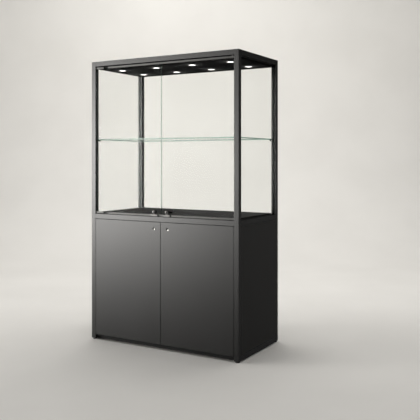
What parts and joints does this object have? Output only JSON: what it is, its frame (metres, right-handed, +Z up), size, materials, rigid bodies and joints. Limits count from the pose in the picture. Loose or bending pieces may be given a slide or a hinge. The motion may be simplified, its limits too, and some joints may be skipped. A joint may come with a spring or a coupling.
{
  "type": "display case",
  "caption": "Free-standing framed glass display cabinet with hinged glass doors, a glass shelf and recessed ceiling lights over a lockable two-door cupboard.",
  "frame": {"origin": "centre of the bounding box on the floor plane", "axes": "+X to the right seen from the front, +Y to the back, +Z up; the doors face -Y"},
  "size_m": [1.2, 0.6044, 2],
  "materials": {
    "frame_paint": "satin powder coat",
    "frame_dark": "matt black powder coat",
    "door_board": "satin grey laminate on board",
    "inner_board": "semi-gloss black laminate on board",
    "clear_glass": "clear, polished edges",
    "lamp_lens": "opal diffuser",
    "satin_metal": "satin anodised dark grey",
    "nickel": "bright nickel",
    "steel": "zinc plated",
    "key_brass": "nickel-plated brass",
    "black_rubber": "matt black",
    "frame_seal": "satin rubber in the frame colour",
    "black_plastic": "matt black",
    "driver_plastic": "matt white",
    "foot_steel": "black zinc"
  },
  "bodies": {
    "frame": {"post_front_left": "frame_paint", "post_front_right": "frame_paint", "post_back_left": "frame_paint", "post_back_right": "frame_paint", "post_caps": "frame_paint", "foot_sockets": "black_plastic", "rail_top_front": "frame_paint", "rail_mid_front": "frame_paint", "rail_base_front": "frame_dark", "rails_rear": "frame_paint", "rails_side": "frame_paint", "glazing_gaskets": "frame_seal", "pane_left": "clear_glass", "pane_right": "clear_glass", "pane_back": "clear_glass", "glass_shelf": "clear_glass", "shelf_brackets": "frame_dark", "deck_panel": "inner_board", "deck_ledges": "frame_dark", "ceiling_tray": "frame_dark", "roof_panel": "frame_paint", "pan_screws": "steel", "downlight_housings": "frame_dark", "downlight_lenses": "lamp_lens", "led_driver": "driver_plastic", "lamp_loom": "black_plastic", "supply_cable": "black_rubber", "cable_grommet": "black_rubber", "side_panels": "door_board", "back_panel": "door_board", "base_panel": "inner_board", "inner_shelf": "inner_board", "shelf_pegs": "steel", "door_stop": "frame_dark", "cupboard_pivots": "frame_dark", "pivot_bushes": "black_plastic"},
    "level_foot_front_left": {"foot_front_left": "foot_steel"},
    "level_foot_front_right": {"foot_front_right": "foot_steel"},
    "level_foot_back_left": {"foot_back_left": "foot_steel"},
    "level_foot_back_right": {"foot_back_right": "foot_steel"},
    "glass_door_left": {"door_pane_left": "clear_glass", "door_rails_left": "satin_metal", "pivot_clamps_left": "satin_metal", "glass_lock_case_left": "nickel"},
    "glass_key_left": {"glass_lock_plug_left": "key_brass", "glass_lock_cam_left": "steel"},
    "cupboard_leaf_left": {"cupboard_door_left": "door_board", "cam_lock_body_left": "nickel"},
    "cam_set_left": {"cam_lock_plug_left": "key_brass", "cam_left": "steel"},
    "glass_door_right": {"door_pane_right": "clear_glass", "door_rails_right": "satin_metal", "pivot_clamps_right": "satin_metal", "glass_lock_case_right": "nickel"},
    "glass_key_right": {"glass_lock_plug_right": "key_brass", "glass_lock_cam_right": "steel"},
    "cupboard_leaf_right": {"cupboard_door_right": "door_board", "cam_lock_body_right": "nickel"},
    "cam_set_right": {"cam_lock_plug_right": "key_brass", "cam_right": "steel"}
  },
  "joints": [
    {"name": "turn_foot_front_left", "type": "hinge", "parent": "frame", "child": "level_foot_front_left", "pos_m": [-0.5825, -0.28025, 0], "axis": [0, 0, 1], "continuous": true},
    {"name": "turn_foot_front_right", "type": "hinge", "parent": "frame", "child": "level_foot_front_right", "pos_m": [0.5825, -0.28025, 0], "axis": [0, 0, 1], "continuous": true},
    {"name": "turn_foot_back_left", "type": "hinge", "parent": "frame", "child": "level_foot_back_left", "pos_m": [-0.5825, 0.28475, 0], "axis": [0, 0, 1], "continuous": true},
    {"name": "turn_foot_back_right", "type": "hinge", "parent": "frame", "child": "level_foot_back_right", "pos_m": [0.5825, 0.28475, 0], "axis": [0, 0, 1], "continuous": true},
    {"name": "glass_door_hinge_left", "type": "hinge", "parent": "frame", "child": "glass_door_left", "pos_m": [-0.55, -0.28475, 0.905], "axis": [0, 0, -1], "range_deg": [0, 105]},
    {"name": "cupboard_hinge_left", "type": "hinge", "parent": "frame", "child": "cupboard_leaf_left", "pos_m": [-0.5505, -0.29125, 0.035], "axis": [0, 0, -1], "range_deg": [0, 105]},
    {"name": "glass_lock_turn_left", "type": "hinge", "parent": "glass_door_left", "child": "glass_key_left", "pos_m": [-0.052, -0.29775, 0.936], "axis": [0, -1, 0], "range_deg": [0, 90]},
    {"name": "cam_turn_left", "type": "hinge", "parent": "cupboard_leaf_left", "child": "cam_set_left", "pos_m": [-0.055, -0.28775, 0.8215], "axis": [0, 1, 0], "range_deg": [0, 90]},
    {"name": "glass_door_hinge_right", "type": "hinge", "parent": "frame", "child": "glass_door_right", "pos_m": [0.55, -0.28475, 0.905], "axis": [0, 0, 1], "range_deg": [0, 105]},
    {"name": "cupboard_hinge_right", "type": "hinge", "parent": "frame", "child": "cupboard_leaf_right", "pos_m": [0.5505, -0.29125, 0.035], "axis": [0, 0, 1], "range_deg": [0, 105]},
    {"name": "glass_lock_turn_right", "type": "hinge", "parent": "glass_door_right", "child": "glass_key_right", "pos_m": [0.052, -0.29775, 0.936], "axis": [0, 1, 0], "range_deg": [0, 90]},
    {"name": "cam_turn_right", "type": "hinge", "parent": "cupboard_leaf_right", "child": "cam_set_right", "pos_m": [0.055, -0.28775, 0.8215], "axis": [0, -1, 0], "range_deg": [0, 90]}
  ]
}
